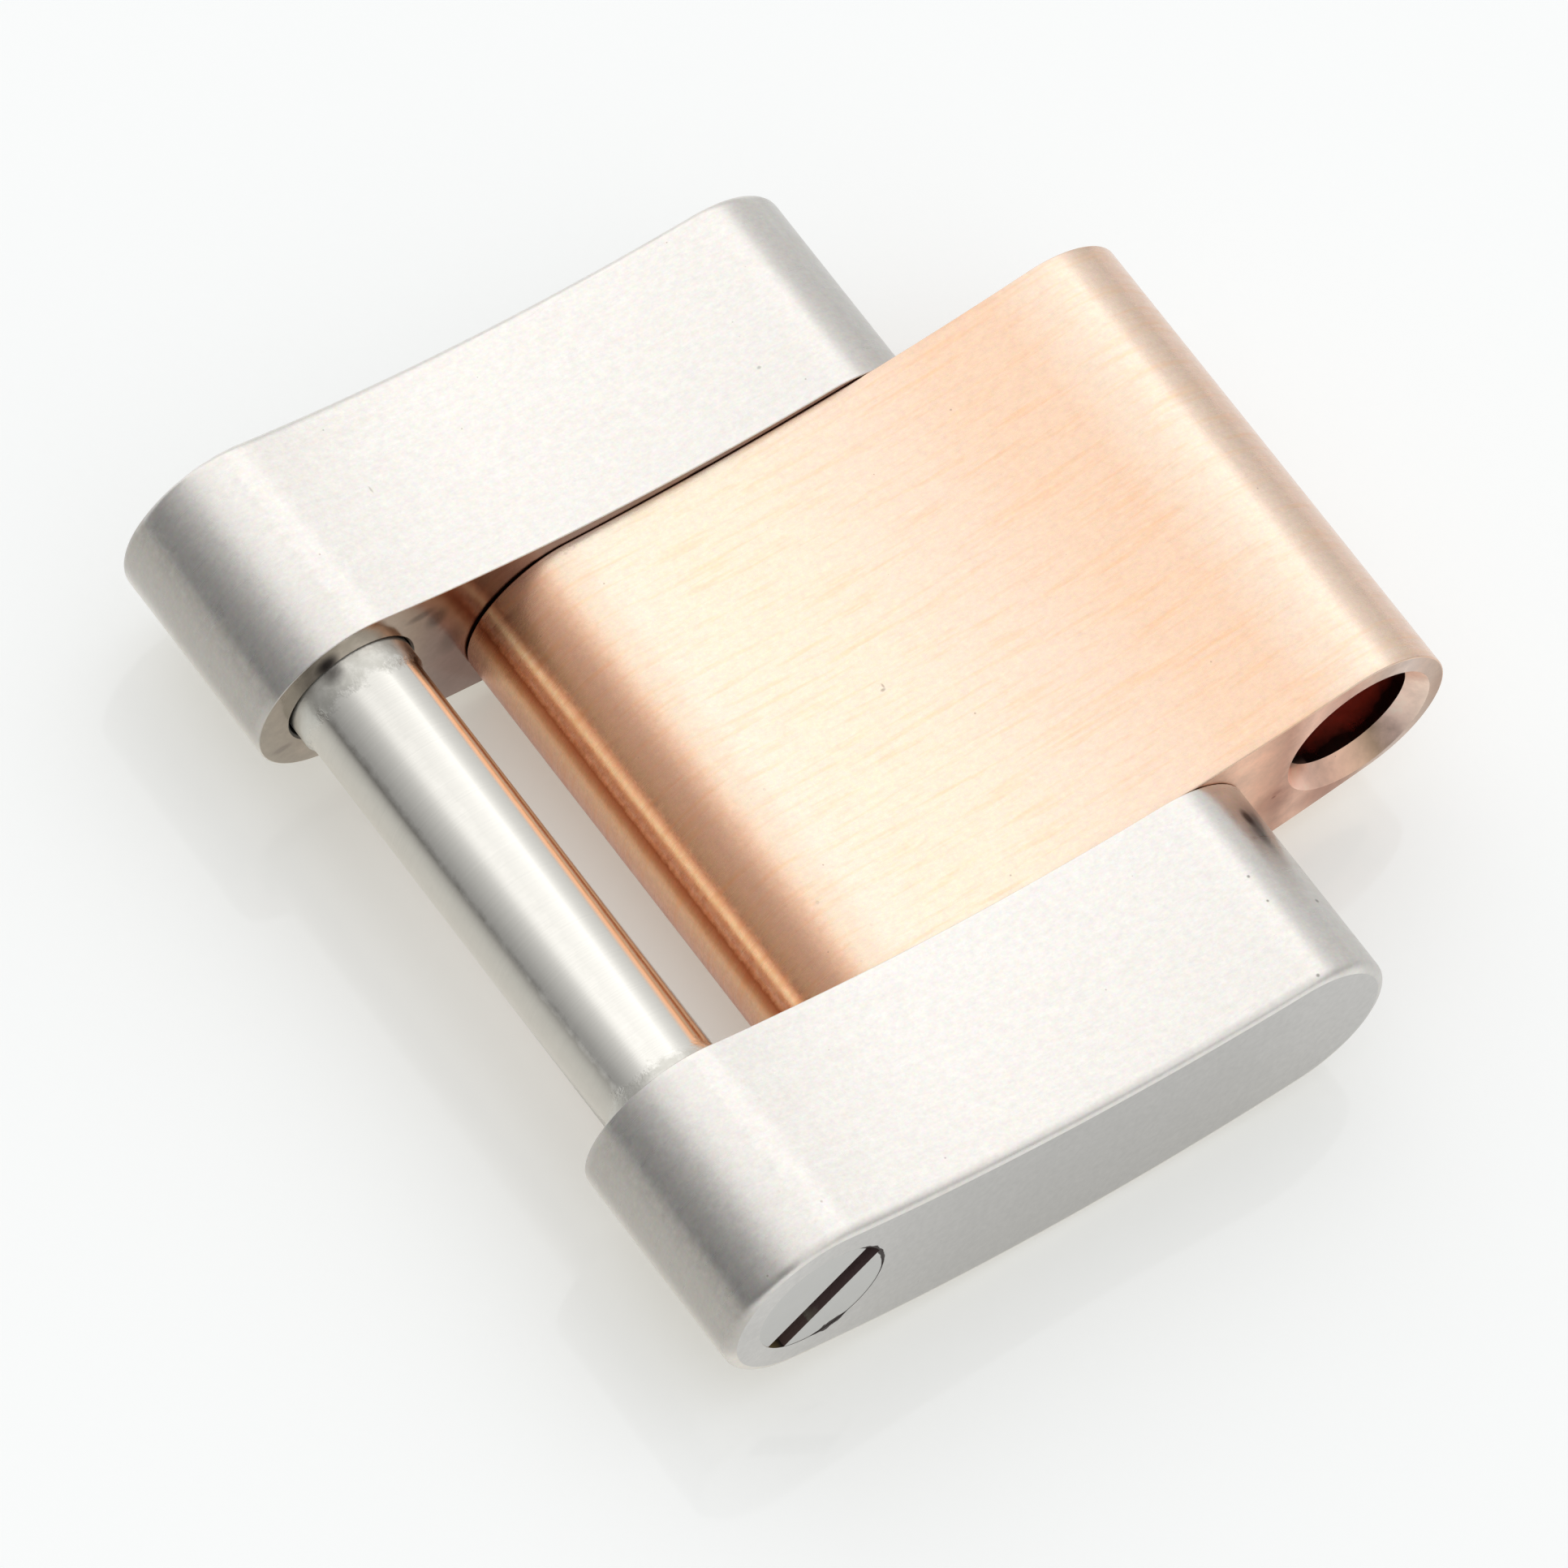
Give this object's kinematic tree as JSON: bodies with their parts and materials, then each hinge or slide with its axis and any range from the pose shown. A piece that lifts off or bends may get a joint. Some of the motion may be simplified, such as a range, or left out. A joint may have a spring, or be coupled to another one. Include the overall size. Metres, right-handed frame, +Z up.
{
  "type": "watch bracelet link",
  "caption": "Two-tone watch bracelet link: brushed steel outer links, a rose-gold centre link shifted half a link, a slotted screw pin and a free hinge bore.",
  "frame": {"origin": "on the surface that the link lies on, at the middle of its length and width", "axes": "+X from the screw pin towards the free hinge bore, +Y across the bracelet from the screw head towards the blind thread, +Z up out of the hollow wrist side"},
  "size_m": [0.0138, 0.014, 0.0035],
  "materials": {
    "outer_steel": "brushed along the bracelet",
    "rose_gold": "rose gold, brushed along the bracelet",
    "pin_steel": "fine turned"
  },
  "bodies": {
    "link": {"outer_link_screw_side": "outer_steel", "outer_link_thread_side": "outer_steel", "center_link": "rose_gold", "cross_pin_screw_end": "pin_steel", "cross_pin_bore_end": "pin_steel"},
    "screw": {"screw_pin": "pin_steel"}
  },
  "joints": [
    {"name": "screw_slide", "type": "slide", "parent": "link", "child": "screw", "axis": [0, -1, 0], "range_m": [0, 0.0145]}
  ]
}
